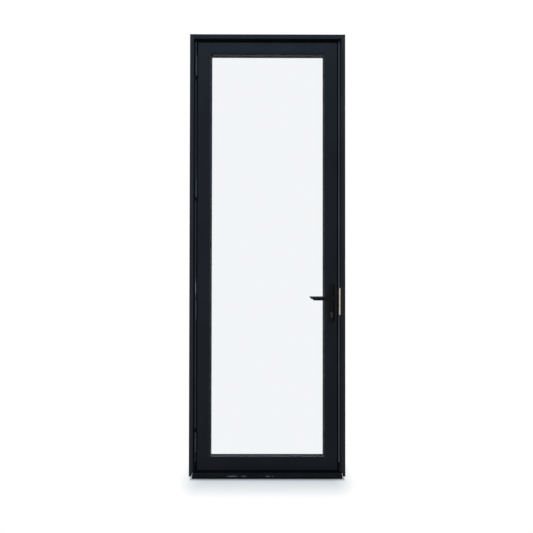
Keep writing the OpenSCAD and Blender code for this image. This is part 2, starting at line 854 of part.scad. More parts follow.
module bottom_rail() {
    color(coat) translate([0, 0, leaf_z0]) difference() {
        union() {
            along_x(bed_x0, bed_x1) swapped() rail_section(bottom_rail_h, 0);
            along_x(leg_x0, leg_x1) swapped() translate([bottom_rail_h, 0]) leg_section();
        }
        span([bed_x0 - overrun, mid_y - sweep_t / 2 - screw_fit, -overrun],
            [bed_x1 + overrun, mid_y + sweep_t / 2 + screw_fit, sweep_d]);
    }
}

// Blocks that fill the ends of the rails and join them to the stiles
module corner_blocks() {
    color(steel) for (x = [bed_x0, bed_x1 - corner_block_l]) {
        span([x, chamber_y0 + screw_fit, leaf_z0 + edge_wall + screw_fit],
            [x + corner_block_l, chamber_y1 - screw_fit, bed_z0 - wall_t - screw_fit]);
        span([x, chamber_y0 + screw_fit, bed_z1 + wall_t + screw_fit],
            [x + corner_block_l, chamber_y1 - screw_fit, leaf_z1 - edge_wall - screw_fit]);
    }
}

// Plate or ring inside the glazing bed, held a given distance in from it
module bed_plate(inset, y0, y1) {
    span([bed_x0 + inset, y0, bed_z0 + inset], [bed_x1 - inset, y1, bed_z1 - inset]);
}

module bed_ring(outer, inner, y0, y1) {
    difference() {
        bed_plate(outer, y0, y1);
        bed_plate(inner, y0 - overrun, y1 + overrun);
    }
}

module front_pane() {
    color(clear_glass) bed_plate(glass_gap, pane_y0, space_y0);
}

module back_pane() {
    color(clear_glass) bed_plate(glass_gap, space_y1, pane_y1);
}

// Hollow bar between the panes, its edge on the sight line
module spacer_bar() {
    color(steel) difference() {
        bed_ring(glass_gap + seal_band, bead_w, space_y0, space_y1);
        bed_ring(glass_gap + seal_band + spacer_wall, bead_w - spacer_wall,
            space_y0 + spacer_wall, space_y1 - spacer_wall);
    }
}

module edge_seal() {
    color(rubber) bed_ring(glass_gap, glass_gap + seal_band, space_y0, space_y1);
}

module front_gasket() {
    color(rubber) bed_ring(glass_gap, bead_w - gasket_lip, bead_y1, pane_y0);
}

module back_gasket() {
    color(rubber) bed_ring(glass_gap, leg_w - gasket_lip, pane_y1, leg_y0);
}

module setting_blocks() {
    color(rubber) for (x = [bed_x0 + block_end, bed_x1 - block_end - block_l])
        span([x, pane_y0, bed_z0], [x + block_l, pane_y1, bed_z0 + glass_gap]);
}

// Section of a bead: distance from the bed, then depth
module bead_section() {
    crest = leaf_y0 - bead_proud;
    translate([bead_r, crest + bead_r]) circle(r = bead_r);
    polygon([[0, bead_y1], [0, crest + bead_r], [bead_r, crest], [bead_w, leaf_y0 + bead_toe],
        [bead_w, bead_y1]]);
}

// Tongue that snaps into the groove in the bed
module bead_tongue() {
    translate([-tongue_l, tongue_y]) square([tongue_l + bead_r, tongue_t]);
}

// Bead cut to a mitre at each end, in width and height from the lower left corner of its outer edge
module mitre(l) {
    polygon([[0, 0], [l, 0], [l - bead_w, bead_w], [bead_w, bead_w]]);
}

module bead(l) {
    intersection() {
        along_x(0, l) swapped() bead_section();
        along_y(leaf_y0 - bead_proud - overrun, bead_y1 + overrun) mitre(l);
    }
    along_x(tongue_end, l - tongue_end) swapped() bead_tongue();
}

bed_w = bed_x1 - bed_x0;
bed_h = bed_z1 - bed_z0;

module bottom_bead() {
    color(coat) translate([bed_x0, 0, bed_z0]) bead(bed_w);
}

module top_bead() {
    color(coat) translate([bed_x0, 0, bed_z1]) mirror([0, 0, 1]) bead(bed_w);
}

module hinge_side_bead() {
    color(coat) translate([bed_x0, 0, bed_z1]) rotate([0, 90, 0]) bead(bed_h);
}

module lock_side_bead() {
    color(coat) translate([bed_x1, 0, bed_z0]) rotate([0, -90, 0]) bead(bed_h);
}

// Plugs flush in the ends of the stiles, the lock stile's bored for the shoot bolts
module stile_end_plugs() {
    color(dark_metal) difference() {
        for (z = [leaf_z0, leaf_z1 - plug_l]) {
            span([leaf_x0 + edge_wall + screw_fit, chamber_y0 + screw_fit, z],
                [bed_x0 - wall_t - screw_fit, chamber_y1 - screw_fit, z + plug_l]);
            span([bed_x1 + wall_t + screw_fit, chamber_y0 + screw_fit, z],
                [leaf_x1 - edge_wall - screw_fit, chamber_y1 - screw_fit, z + plug_l]);
        }
        top_bevel();
        bar_z([upper_shoot_x, mid_y, leaf_z1 - plug_l - overrun], shoot_r + run_fit, plug_l + 2 * overrun);
        bar_z([lower_shoot_x, mid_y, leaf_z0 - overrun], shoot_r + run_fit, plug_l + 2 * overrun);
    }
}

module bottom_sweep() {
    color(rubber) span([bed_x0, mid_y - sweep_t / 2, sill_top_h + sweep_clear],
        [bed_x1, mid_y + sweep_t / 2, leaf_z0 + sweep_d - screw_fit]);
}

cylinder_screw_z = cylinder_z - cylinder_screw_drop;

module cylinder_screw_shape(fit = 0) {
    l = backset + euro_tail_r - overrun;
    translate([leaf_x1, mid_y, cylinder_screw_z]) rotate([0, -90, 0]) {
        cylinder(r = cylinder_screw_head_r + fit, h = cylinder_screw_head_h);
        cylinder(r = cylinder_screw_r + fit, h = l + fit);
    }
}

module lock_faceplate() {
    color(steel) difference() {
        span([faceplate_x0, mid_y - faceplate_w / 2, faceplate_z0],
            [leaf_x1, mid_y + faceplate_w / 2, faceplate_z1]);
        bolt_way(faceplate_x0 - overrun, leaf_x1 + overrun, slide_fit);
        faceplate_screw_set(screw_fit);
        cylinder_screw_shape(screw_fit);
    }
}

// Ways of the two rods through the case's ends
module rod_way(x, z0, z1) {
    span([x - slide_fit, mid_y - rod_w / 2 - slide_fit, z0],
        [x + rod_t + slide_fit, mid_y + rod_w / 2 + slide_fit, z1]);
}

module lock_case() {
    color(steel) difference() {
        span([case_x0, case_y0 + case_wall, case_z0], [faceplate_x0, case_y1, case_z1]);
        span([case_x0 + case_wall, case_y0, case_z0 + case_wall],
            [faceplate_x0 - case_wall, case_y1 - case_wall, case_z1 - case_wall]);
        rod_way(upper_rod_x, lever_z, case_z1 + overrun);
        rod_way(lower_rod_x, case_z0 - overrun, lever_z);
        bolt_way(lower_rod_x, faceplate_x0 + overrun, slide_fit);
        euro_way(case_y0, case_y1 + overrun, slide_fit);
        bar_y([lock_x, case_y0, lever_z], hub_r + run_fit, case_t + overrun);
        cylinder_screw_shape(screw_fit);
    }
}

module lock_case_cover() {
    color(steel) difference() {
        span([case_x0, case_y0, case_z0], [faceplate_x0, case_y0 + case_wall, case_z1]);
        euro_way(case_y0 - overrun, case_y0 + case_wall + overrun, slide_fit);
        bar_y([lock_x, case_y0 - overrun, lever_z], hub_r + run_fit, case_wall + 2 * overrun);
    }
}

// Plate with round ends and a bevelled rim, its back on the leaf's front face
module front_escutcheon_blank() {
    r = escutcheon_w / 2;
    rim = escutcheon_t - escutcheon_edge;
    for (z = [escutcheon_z0 + r, escutcheon_z1 - r]) translate([lock_x, leaf_y0, z]) rotate([90, 0, 0]) {
        cylinder(r = r, h = rim);
        translate([0, 0, rim]) cylinder(r1 = r, r2 = r - escutcheon_bevel, h = escutcheon_edge);
    }
    up_z(escutcheon_z0 + r, escutcheon_z1 - r) translate([lock_x, leaf_y0])
        polygon([[-r, 0], [-r, -rim], [-r + escutcheon_bevel, -escutcheon_t],
            [r - escutcheon_bevel, -escutcheon_t], [r, -rim], [r, 0]]);
}

module escutcheon_ways() {
    euro_way(leaf_y0 - escutcheon_t - overrun, leaf_y1 + escutcheon_t + overrun, slide_fit);
    bar_y([lock_x, leaf_y0 - escutcheon_t - overrun, lever_z], neck_r + run_fit,
        leaf_t + 2 * (escutcheon_t + overrun));
    escutcheon_screw_set(screw_fit);
}

module front_escutcheon() {
    color(dark_metal) difference() {
        front_escutcheon_blank();
        escutcheon_ways();
    }
}

module back_escutcheon() {
    color(dark_metal) difference() {
        to_back() front_escutcheon_blank();
        escutcheon_ways();
    }
}

module escutcheon_screws() {
    color(steel) escutcheon_screw_set();
}

module cylinder_body() {
    color(steel) difference() {
        euro_way(cylinder_y0, cylinder_y1, 0);
        bar_y([lock_x, cylinder_y0 - overrun, cylinder_z], core_r + run_fit,
            cylinder_y1 - cylinder_y0 + 2 * overrun);
        bar_y([lock_x, mid_y - cam_t / 2 - cam_room, cylinder_z], cam_r + cam_room, cam_t + 2 * cam_room);
        cylinder_screw_shape(screw_fit);
    }
}

module lock_edge_screws() {
    color(steel) {
        faceplate_screw_set();
        cylinder_screw_shape();
    }
}

// Core with its key slot at the front, cam in the middle and thumb-turn at the back
module cylinder_core() {
    color(steel) difference() {
        union() {
            bar_y([lock_x, cylinder_y0, cylinder_z], core_r, cylinder_y1 - cylinder_y0 + overrun);
            bar_y([lock_x, mid_y - cam_t / 2, cylinder_z], euro_r, cam_t);
            along_y(mid_y - cam_t / 2, mid_y + cam_t / 2) translate([lock_x, cylinder_z]) intersection() {
                translate([-cam_w / 2, -cam_r]) square([cam_w, cam_r]);
                circle(r = cam_r);
            }
            along_y(cylinder_y1 + slide_fit, cylinder_y1 + turn_l) translate([lock_x, cylinder_z]) {
                square([turn_t, turn_h - turn_t], center = true);
                for (side = [-1, 1]) translate([0, side * (turn_h - turn_t) / 2]) circle(r = turn_t / 2);
            }
        }
        span([lock_x - key_slot_w / 2, cylinder_y0 - overrun, cylinder_z - key_slot_h / 2],
            [lock_x + key_slot_w / 2, cylinder_y0 + key_slot_d, cylinder_z + key_slot_h / 2]);
    }
}

module cylinder_screw_slot() {
    room = cylinder_screw_r + slide_fit;
    span([lower_rod_x - overrun, mid_y - room, cylinder_screw_z - room],
        [lower_rod_x + rod_t + overrun, mid_y + room, cylinder_screw_z + throw + room]);
}

// Arm of a lever seen from the front: level top, tapered foot and a raked tip
module lever_outline() {
    half = lever_h / 2;
    circle(r = lever_hub_r);
    polygon([[0, lever_hub_r], [-lever_hub_r, half], [-lever_l, half], [-lever_l, half * lever_tip_h_share],
        [-lever_l + lever_tip_cut, -half], [-lever_hub_r, -half], [0, -lever_hub_r]]);
}

// Arm of a lever seen from above, with its edges eased
module lever_plan() {
    polygon([[lever_hub_r, lever_y1], [lever_hub_r, lever_y0 + lever_edge],
        [lever_hub_r - lever_edge, lever_y0], [-lever_l + lever_edge, lever_y0],
        [-lever_l, lever_y0 + lever_edge], [-lever_l, lever_y1 - lever_edge],
        [-lever_l + lever_edge, lever_y1]]);
}

module front_lever_shape() {
    difference() {
        union() {
            intersection() {
                along_y(lever_y0, lever_y1) translate([lock_x, lever_z]) lever_outline();
                up_z(lever_z - lever_h - lever_hub_r, lever_z + lever_h + lever_hub_r)
                    translate([lock_x, 0]) lever_plan();
            }
            bar_y([lock_x, lever_y1 - overrun, lever_z], neck_r, leaf_y0 - lever_y1 + overrun);
        }
        spindle_shape(screw_fit);
    }
}

// Square spindle through both levers and the follower
module spindle_shape(fit = 0) {
    half = spindle_w / 2 + fit;
    reach = socket_d + fit;
    span([lock_x - half, leaf_y0 - reach, lever_z - half], [lock_x + half, leaf_y1 + reach, lever_z + half]);
}

module front_lever() {
    color(dark_metal) front_lever_shape();
}

module back_lever() {
    color(dark_metal) to_back() front_lever_shape();
}

module spindle() {
    color(steel) spindle_shape();
}

// One tooth standing out from a pitch line along the first axis, in shares of the tooth pitch
module tooth() {
    polygon([[-tooth_down - overrun, -tooth_root_share * tooth_pitch / 2],
        [-tooth_down, -tooth_root_share * tooth_pitch / 2], [0, -tooth_pitch_share * tooth_pitch / 2],
        [tooth_up, -tooth_tip_share * tooth_pitch / 2], [tooth_up, tooth_tip_share * tooth_pitch / 2],
        [0, tooth_pitch_share * tooth_pitch / 2], [-tooth_down, tooth_root_share * tooth_pitch / 2],
        [-tooth_down - overrun, tooth_root_share * tooth_pitch / 2]]);
}

// Toothed follower in width and height about the lever's axis
module follower_outline() {
    circle(r = follower_r - tooth_down);
    for (i = [0:follower_teeth - 1]) rotate(i * 360 / follower_teeth) translate([follower_r, 0]) tooth();
}

module follower() {
    color(tan_metal) difference() {
        union() {
            along_y(mid_y - works_t / 2, mid_y + works_t / 2) translate([lock_x, lever_z]) follower_outline();
            bar_y([lock_x, case_y0, lever_z], hub_r, case_t);
        }
        spindle_shape(screw_fit);
    }
}

// Teeth of a rack about the middle of the mesh: how many lie before and after it
module rack(before, after, shift) {
    for (i = [-before:after]) translate([0, (i + shift) * tooth_pitch]) tooth();
}

module upper_rod() {
    color(steel) {
        span([upper_rod_x, mid_y - rod_w / 2, lever_z - throw - rack_lead],
            [upper_rod_x + rod_t, mid_y + rod_w / 2, leaf_z1 - shoot_l]);
        along_y(mid_y - works_t / 2, mid_y + works_t / 2)
            translate([lock_x - follower_r, lever_z]) rack(3, 0, 0.5);
        bar_z([upper_shoot_x, mid_y, leaf_z1 - shoot_l - shoot_set], shoot_r, shoot_l);
    }
}

module lower_rod() {
    color(steel) difference() {
        union() {
            span([lower_rod_x, mid_y - rod_w / 2, leaf_z0 + shoot_l],
                [lower_rod_x + rod_t, mid_y + rod_w / 2, lever_z + throw + tooth_pitch / 2]);
            along_y(mid_y - works_t / 2, mid_y + works_t / 2) translate([lock_x + follower_r, lever_z])
                mirror([1, 0]) rack(1, 2, 0.5);
            bar_z([lower_shoot_x, mid_y, leaf_z0 + shoot_set], shoot_r, shoot_l);
        }
        cylinder_screw_slot();
    }
}

module centre_bolt() {
    color(steel) {
        span([bolt_x0, mid_y - works_t / 2, bolt_z0], [bolt_x1, mid_y + works_t / 2, bolt_z0 + bolt_h]);
        along_y(mid_y - works_t / 2, mid_y + works_t / 2) translate([lock_x, lever_z + follower_r])
            rotate(-90) rack(2, 1, 0);
    }
}

hinge_jamb();
strike_jamb();
head();
sill();
sill_end_caps();
frame_corner_screws();
jamb_stop_seals();
head_stop_seal();
sill_stop_seal();
hinge_jamb_gap_seal();
strike_jamb_gap_seal();
head_gap_seal();
strike_plate();
shoot_bolt_keepers();
keeper_screws();
hinge_1_frame_plate();
hinge_2_frame_plate();
hinge_3_frame_plate();
hinge_4_frame_plate();
hinge_pins();
hinge_frame_screws();
hinge_stile();
lock_stile();
top_rail();
bottom_rail();
corner_blocks();
front_pane();
back_pane();
spacer_bar();
edge_seal();
top_bead();
bottom_bead();
hinge_side_bead();
lock_side_bead();
front_gasket();
back_gasket();
setting_blocks();
lock_faceplate();
lock_case();
lock_case_cover();
front_escutcheon();
back_escutcheon();
escutcheon_screws();
cylinder_body();
lock_edge_screws();
hinge_1_leaf_plate();
hinge_2_leaf_plate();
hinge_3_leaf_plate();
hinge_4_leaf_plate();
hinge_leaf_screws();
stile_end_plugs();
bottom_sweep();
front_lever();
back_lever();
spindle();
follower();
centre_bolt();
upper_rod();
lower_rod();
cylinder_core();
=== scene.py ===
"""Looks of a tall black glazed door in its frame: finishes, eased edges, screws, light and camera.

Lengths are in metres, in the frame of the solids: X to the right, Y away from the viewer, Z up.
"""

import json
import math

import bmesh
import bpy
from mathutils import Matrix, Vector


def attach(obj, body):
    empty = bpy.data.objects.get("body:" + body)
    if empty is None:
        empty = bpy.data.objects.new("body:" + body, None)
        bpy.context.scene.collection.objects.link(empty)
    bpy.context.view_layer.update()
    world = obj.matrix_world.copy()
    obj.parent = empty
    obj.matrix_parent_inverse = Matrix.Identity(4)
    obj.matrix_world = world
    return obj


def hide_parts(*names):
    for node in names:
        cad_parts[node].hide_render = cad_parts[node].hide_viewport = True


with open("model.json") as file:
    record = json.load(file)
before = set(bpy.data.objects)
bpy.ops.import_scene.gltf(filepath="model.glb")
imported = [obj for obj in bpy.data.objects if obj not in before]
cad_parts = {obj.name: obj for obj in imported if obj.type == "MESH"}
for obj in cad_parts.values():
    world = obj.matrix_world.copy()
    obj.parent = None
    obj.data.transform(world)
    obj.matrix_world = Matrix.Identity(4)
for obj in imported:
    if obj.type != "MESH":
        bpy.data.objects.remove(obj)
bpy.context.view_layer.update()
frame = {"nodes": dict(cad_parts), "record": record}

# Camera: a little under half the door's height, square on
CAMERA_PLACE = (-0.0162, -3.2, 1.1548)
CAMERA_PITCH = math.radians(0.69)
CAMERA_YAW = math.radians(-0.20)
CAMERA_ROLL = math.radians(0.075)
CAMERA_LENS_MM = 37.88
CAMERA_SENSOR_MM = 36.0

# Light: the sky that lights the door, and the share of light that the floor shows and gives back
WHITE = (1.0, 1.0, 1.0, 1.0)
SKY_COLOUR = (0.87, 0.94, 1.0, 1.0)
SKY_STRENGTH = 0.48
FLOOR_SIZE = 60.0
FLOOR_ALBEDO = 0.50
FLOOR_BOUNCE = 0.26

# Shade on the floor, partly the lamps' real shadow and partly painted shade: the rectangle under the door
# from which it thins out, and how far it reaches
SHADE_TINT = (0.86, 0.94, 1.0, 1.0)
SHADE_HALF_WIDTH = 0.36
SHADE_FRONT, SHADE_BACK = -0.05, 0.10
SHADE_SIDE_GAIN = 2.0
SHADE_REACH = 0.255
SHADE_WHITE = 0.46

# Painted contact shade: a darker line where the sill meets the floor
NOSE_HALF_WIDTH = 0.426
NOSE_FRONT, SILL_BACK = -0.036, 0.10
NOSE_SIDE_GAIN = 2.5
CONTACT_REACH = 0.036
CONTACT_WHITE = 0.16

# Edges: how far the sharp corners of the solids are eased, and which edges count as long, sharp or smooth
PROFILE_EASE = 0.0007
BEAD_EASE = 0.0005
HANDLE_EASE = 0.0008
FITTING_EASE = 0.0003
PROFILE_STEPS = 2
HANDLE_STEPS = 3
ROUND_PROFILE = 0.5
LONG_EDGE = 0.2
ANY_EDGE = 0.0
SHARP_EDGE = math.radians(30)
SMOOTH_EDGE = math.radians(40)
FLAT_FACE = math.radians(0.2)
LARGEST_ONLY = 100
SAME_AREA = 0.0
SAME_CORNER = 1e-6

# Screws: shares of the head that the cross recess takes, and what tells a head from its shank
SCREW_SIDES = 24
RECESS_LENGTH_SHARE = 1.15
RECESS_WIDTH_SHARE = 0.24
RECESS_DEPTH_SHARE = 0.55
SCREW_SEED = 7
SAME_END = 1e-5
HEAD_OVER_SHANK = 1.05

# Scuffs along the sill's nose, as middle and half length, with the shares of it that are full and fading
SILL_SCUFFS = ((-0.196, 0.030), (-0.132, 0.015), (0.004, 0.014), (0.032, 0.004))
SCUFF_FULL, SCUFF_FADING = 0.6, 0.5
SCUFF_FOOT, SCUFF_FOOT_SOFT = 0.0105, 0.002
NOSE_BACK, NOSE_SOFT = -0.0300, 0.003

# Painted shade on the sill: the strip under the leaf, the tread, and the front of the nose
SILL_SHADE_MIDDLE, SILL_SHADE_HALF, SILL_SHADE_SOFT = 0.031, 0.030, 0.004
SILL_SHADE_SHARE = 0.85
SILL_TREAD_BACK, SILL_TREAD_FRONT = -0.004, -0.034
SILL_TREAD_SHARE = 0.6
NOSE_FRONT_TOP, NOSE_TOP_SOFT = 0.0152, 0.0015
NOSE_SHADE_SHARE = 0.8

# Gap seals: how far from the middle their pale part ends, where they are dark, where painted shade darkens
# them, and where a painted highlight lightens them
PALE_SEAL_END, PALE_SEAL_SOFT = 0.4132, 0.0006
SEAL_FOOT, SEAL_FOOT_SOFT = 0.080, 0.008
SEAL_SHADE_FROM, SEAL_SHADE_TO, SEAL_SHADE_SHARE = 1.5, 2.2, 0.40
LEFT_FROM, LEFT_FULL, LEFT_SEAL_SHARE = -0.1, -0.2, 0.45
STREAK_MIDDLE, STREAK_FULL, STREAK_FADING, STREAK_SHARE = 1.070, 0.0168, 0.0392, 0.8

# Hinge ends: painted shade for the dark gaps where the seal stops short, as middle and half height
GAP_SHADES = ((2.2775, 0.0115), (1.5820, 0.0085), (0.2575, 0.0105))
GAP_SHADE_SOFT = 0.0006

# Strike: where its front lip is bright, and how deep the lip is
STRIKE_BRIGHT_FROM, STRIKE_BRIGHT_SOFT = 0.4128, 0.0006
STRIKE_DARK_FROM, STRIKE_DARK_SOFT = 0.4186, 0.0012
STRIKE_LIP_BACK, STRIKE_LIP_SOFT = 0.0226, 0.0004

# Spacer: middle of its depth, and its two rows of small holes
SPACER_MIDDLE = 0.042
SPACER_ROW = 0.0028
SPACER_PITCH = 0.0045
SPACER_HOLE, SPACER_HOLE_SOFT = 0.00048, 0.00024

# Patterns: where a soft or a firm one starts and ends on the way from its lowest to its highest value
SOFT = (0.3, 0.7)
FIRM = (0.35, 0.65)
LOOKING_UP = (0.25, 0.95)

# Names of shader sockets
SHINE = "Specular IOR Level"
METAL = "Metallic"


# Helpers for colours and nodes


def srgb(red, green, blue):
    """A colour written from 0 to 255, in the linear values that the shaders take."""
    def linear(level):
        share = level / 255
        return share / 12.92 if share <= 0.04045 else ((share + 0.055) / 1.055) ** 2.4
    return (linear(red), linear(green), linear(blue), 1.0)


def put(tree, socket, value):
    """Joins a socket to another one, or sets its value."""
    if isinstance(value, bpy.types.NodeSocket):
        tree.links.new(value, socket)
    else:
        socket.default_value = value


def add_node(tree, kind, values=None, **settings):
    """A new node with its settings made, and its sockets set or joined by name or number."""
    made = tree.nodes.new(kind)
    for name, value in settings.items():
        setattr(made, name, value)
    for name, value in (values or {}).items():
        put(tree, made.inputs[name], value)
    return made


def number(tree, kind, first, second=0.0):
    """One step of arithmetic."""
    return add_node(tree, "ShaderNodeMath", {0: first, 1: second}, operation=kind).outputs[0]


def span(tree, value, low, high, start=0.0, end=1.0):
    """The value's way from low to high, as a number from start to end."""
    values = {0: value, 1: low, 2: high, 3: start, 4: end}
    return add_node(tree, "ShaderNodeMapRange", values, clamp=True).outputs[0]


def mix_colours(tree, share, first, second):
    """One colour going over to another."""
    made = add_node(tree, "ShaderNodeMix", data_type="RGBA")
    sockets = [s for s in made.inputs if s.type == "RGBA"]
    put(tree, made.inputs[0], share)
    put(tree, sockets[0], first)
    put(tree, sockets[1], second)
    return next(s for s in made.outputs if s.type == "RGBA")


class Finish:
    """One material: a single surface shader, with its patterns laid on the piece's own coordinates."""

    def __init__(self, name, constants):
        self.material = bpy.data.materials.new(name)
        self.material.use_nodes = True
        self.tree = self.material.node_tree
        self.surface = self.tree.nodes["Principled BSDF"]
        for socket, value in constants.items():
            self.surface.inputs[socket].default_value = value
        self.place = add_node(self.tree, "ShaderNodeTexCoord").outputs["Object"]
        split = add_node(self.tree, "ShaderNodeSeparateXYZ", {0: self.place})
        self.x, self.y, self.z = split.outputs

    def grain(self, size, detail=3.0, stretch=None, rough=0.5):
        """Soft random cells of about that size. The stretch makes them longer along an axis."""
        place = self.place
        if stretch:
            shrink = tuple(1 / part for part in stretch)
            place = add_node(self.tree, "ShaderNodeMapping", {"Vector": place, "Scale": shrink}).outputs[0]
        values = {"Vector": place, "Scale": 1 / size, "Detail": detail, "Roughness": rough}
        return add_node(self.tree, "ShaderNodeTexNoise", values).outputs[0]

    def span(self, value, low, high, start=0.0, end=1.0):
        return span(self.tree, value, low, high, start, end)

    def number(self, kind, first, second=0.0):
        return number(self.tree, kind, first, second)

    def times(self, first, second):
        return self.number("MULTIPLY", first, second)

    def most(self, first, second):
        return self.number("MAXIMUM", first, second)

    def near(self, value, middle, half, soft):
        """One within half of the middle, falling to nothing over the soft length outside it."""
        away = self.number("ABSOLUTE", self.number("SUBTRACT", value, middle))
        return self.span(away, half, half + soft, 1.0, 0.0)

    def mix(self, share, first, second):
        return mix_colours(self.tree, share, first, second)

    def cloud(self, pattern, dark, light, edges=SOFT):
        """Two shades of a colour that follow a pattern."""
        return self.mix(self.span(pattern, *edges), dark, light)

    def upward(self):
        """One on faces that look up, nothing on the rest."""
        normal = add_node(self.tree, "ShaderNodeNewGeometry").outputs["Normal"]
        height = add_node(self.tree, "ShaderNodeSeparateXYZ", {0: normal}).outputs[2]
        return self.span(height, *LOOKING_UP)

    def colour(self, value):
        put(self.tree, self.surface.inputs["Base Color"], value)

    def roughness(self, pattern, low, high, edges=SOFT):
        """Roughness that follows a pattern."""
        put(self.tree, self.surface.inputs["Roughness"], self.span(pattern, *edges, low, high))

    def relief(self, pattern, depth):
        """Bumps that follow a pattern."""
        values = {"Strength": 1.0, "Distance": depth, "Height": pattern}
        bump = add_node(self.tree, "ShaderNodeBump", values)
        put(self.tree, self.surface.inputs["Normal"], bump.outputs[0])


# Powder coat

COAT_SHINE = 0.08
COAT_DARK, COAT_LIGHT = srgb(18, 20, 24), srgb(22, 24, 29)
# painted light: the jambs and side beads take a lighter copy of the coat
JAMB_DARK, JAMB_LIGHT = srgb(29, 30, 34), srgb(34, 35, 39)
SILL_DARK, SILL_LIGHT = srgb(18, 19, 23), srgb(24, 25, 29)
FLECK, FLECK_SHARE = srgb(58, 60, 66), 0.20
DUST, COAT_DUST_SHARE, SILL_DUST_SHARE = srgb(96, 97, 98), 0.20, 0.14


def lay_coat(coat, dark, light, dust_share):
    """Powder coat: slightly cloudy black with pale flecks, a fine orange-peel skin, and thin dust on top."""
    black = coat.cloud(coat.grain(size=0.25, detail=4.0), dark, light, FIRM)
    flecks = coat.span(coat.grain(size=0.0016, detail=2.0, rough=0.6), 0.52, 0.70, end=FLECK_SHARE)
    black = coat.mix(flecks, black, FLECK)
    patches = coat.span(coat.grain(size=0.09), *FIRM, start=0.35)
    specks = coat.span(coat.grain(size=0.0035, detail=6.0, rough=0.7), 0.40, 0.72)
    lying = coat.times(coat.upward(), coat.times(patches, specks))
    coat.roughness(coat.grain(size=0.06, stretch=(1, 1, 3)), 0.40, 0.52)
    coat.relief(coat.grain(size=0.0013, detail=1.0), depth=0.00012)
    return coat.mix(coat.times(lying, dust_share), black, DUST)


def black_coat():
    """The coat of the leaf, the head and the upper and lower beads."""
    coat = Finish("black_coat", {SHINE: COAT_SHINE})
    coat.colour(lay_coat(coat, COAT_DARK, COAT_LIGHT, COAT_DUST_SHARE))
    return coat.material


def lit_jamb_coat():
    """The coat of the jambs and the side beads, the same black painted a shade lighter as painted light."""
    coat = Finish("lit_jamb_coat", {SHINE: COAT_SHINE})
    coat.colour(lay_coat(coat, JAMB_DARK, JAMB_LIGHT, COAT_DUST_SHARE))
    return coat.material


def nose_scuffs(coat, nose):
    """Ragged scuffs along the upper edge of the sill's nose."""
    along = 0.0
    for middle, half in SILL_SCUFFS:
        along = coat.most(along, coat.near(coat.x, middle, half * SCUFF_FULL, half * SCUFF_FADING))
    band = coat.times(coat.span(coat.z, SCUFF_FOOT, SCUFF_FOOT + SCUFF_FOOT_SOFT), nose)
    ragged = coat.span(coat.grain(size=0.006, detail=4.0, stretch=(2.5, 1, 1), rough=0.7), 0.36, 0.52)
    return coat.times(coat.times(along, band), ragged)


def trodden_coat():
    """The sill's coat: painted shade under the leaf, on the tread and on the nose's front, and scuffs from
    shoes.
    """
    coat = Finish("trodden_coat", {SHINE: COAT_SHINE})
    dusty = lay_coat(coat, SILL_DARK, SILL_LIGHT, SILL_DUST_SHARE)
    # painted shade: the strip of the sill under the leaf is darkened
    under = coat.near(coat.y, SILL_SHADE_MIDDLE, SILL_SHADE_HALF, SILL_SHADE_SOFT)
    sill_shaded = coat.mix(coat.times(under, SILL_SHADE_SHARE), dusty, srgb(3, 4, 5))
    # painted shade: the tread is darkened towards the front
    tread = coat.span(coat.y, SILL_TREAD_BACK, SILL_TREAD_FRONT, end=SILL_TREAD_SHARE)
    sill_shaded = coat.mix(tread, sill_shaded, srgb(6, 6, 7))
    nose = coat.span(coat.y, NOSE_BACK, NOSE_BACK - NOSE_SOFT)
    # painted shade: the front face of the nose is darkened
    front = coat.times(coat.span(coat.z, NOSE_FRONT_TOP, NOSE_FRONT_TOP - NOSE_TOP_SOFT), nose)
    sill_shaded = coat.mix(coat.times(front, NOSE_SHADE_SHARE), sill_shaded, srgb(4, 4, 3))
    coat.colour(coat.mix(nose_scuffs(coat, nose), sill_shaded, srgb(96, 96, 100)))
    return coat.material


# Hinges and lever set


def painted_gap_shade(finish):
    """One in the painted shade of the dark gaps at the hinges' ends."""
    ends = 0.0
    for middle, half in GAP_SHADES:
        ends = finish.most(ends, finish.near(finish.z, middle, half, GAP_SHADE_SOFT))
    return ends


def hinge_black():
    """Satin black enamel on the hinges, its colour raised a little bluer and lighter than the coat, partly as
    painted sheen of the barrels, with painted shade at the ends.
    """
    enamel = Finish("hinge_black", {SHINE: 0.12})
    # painted sheen: the blue-grey enamel stands in partly for the barrels' highlight
    blue = enamel.cloud(enamel.grain(size=0.02), srgb(46, 49, 58), srgb(56, 59, 69))
    # painted shade: the enamel is near black at the hinges' ends
    enamel.colour(enamel.mix(painted_gap_shade(enamel), blue, srgb(3, 3, 4)))
    enamel.roughness(enamel.grain(size=0.008), 0.28, 0.40)
    enamel.relief(enamel.grain(size=0.0009, detail=1.0), depth=0.00003)
    return enamel.material


def handle_black():
    """Smoother satin black of the lever set, with faint wipe marks."""
    enamel = Finish("handle_black", {SHINE: 0.09})
    enamel.colour(enamel.cloud(enamel.grain(size=0.04), srgb(6, 6, 7), srgb(10, 10, 11)))
    enamel.roughness(enamel.grain(size=0.012, stretch=(4, 1, 1)), 0.26, 0.36)
    enamel.relief(enamel.grain(size=0.0008, detail=1.0), depth=0.00002)
    return enamel.material


# Bare and plated metals


def zinc_steel():
    """Zinc-plated steel: cool grey metal with fine drawn lines and a cloudy plating."""
    steel = Finish("zinc_steel", {METAL: 1.0})
    steel.colour(steel.cloud(steel.grain(size=0.010, detail=4.0), srgb(158, 161, 165), srgb(173, 175, 178)))
    lines = steel.grain(size=0.0006, detail=2.0, stretch=(1, 1, 30))
    steel.roughness(lines, 0.26, 0.42)
    steel.relief(lines, depth=0.00001)
    return steel.material


def black_steel():
    """Blackened steel of the screws in the hinges and the lever set."""
    steel = Finish("black_steel", {METAL: 1.0})
    steel.colour(steel.cloud(steel.grain(size=0.003), srgb(44, 45, 47), srgb(60, 61, 63)))
    steel.roughness(steel.grain(size=0.0008, detail=2.0), 0.32, 0.48)
    return steel.material


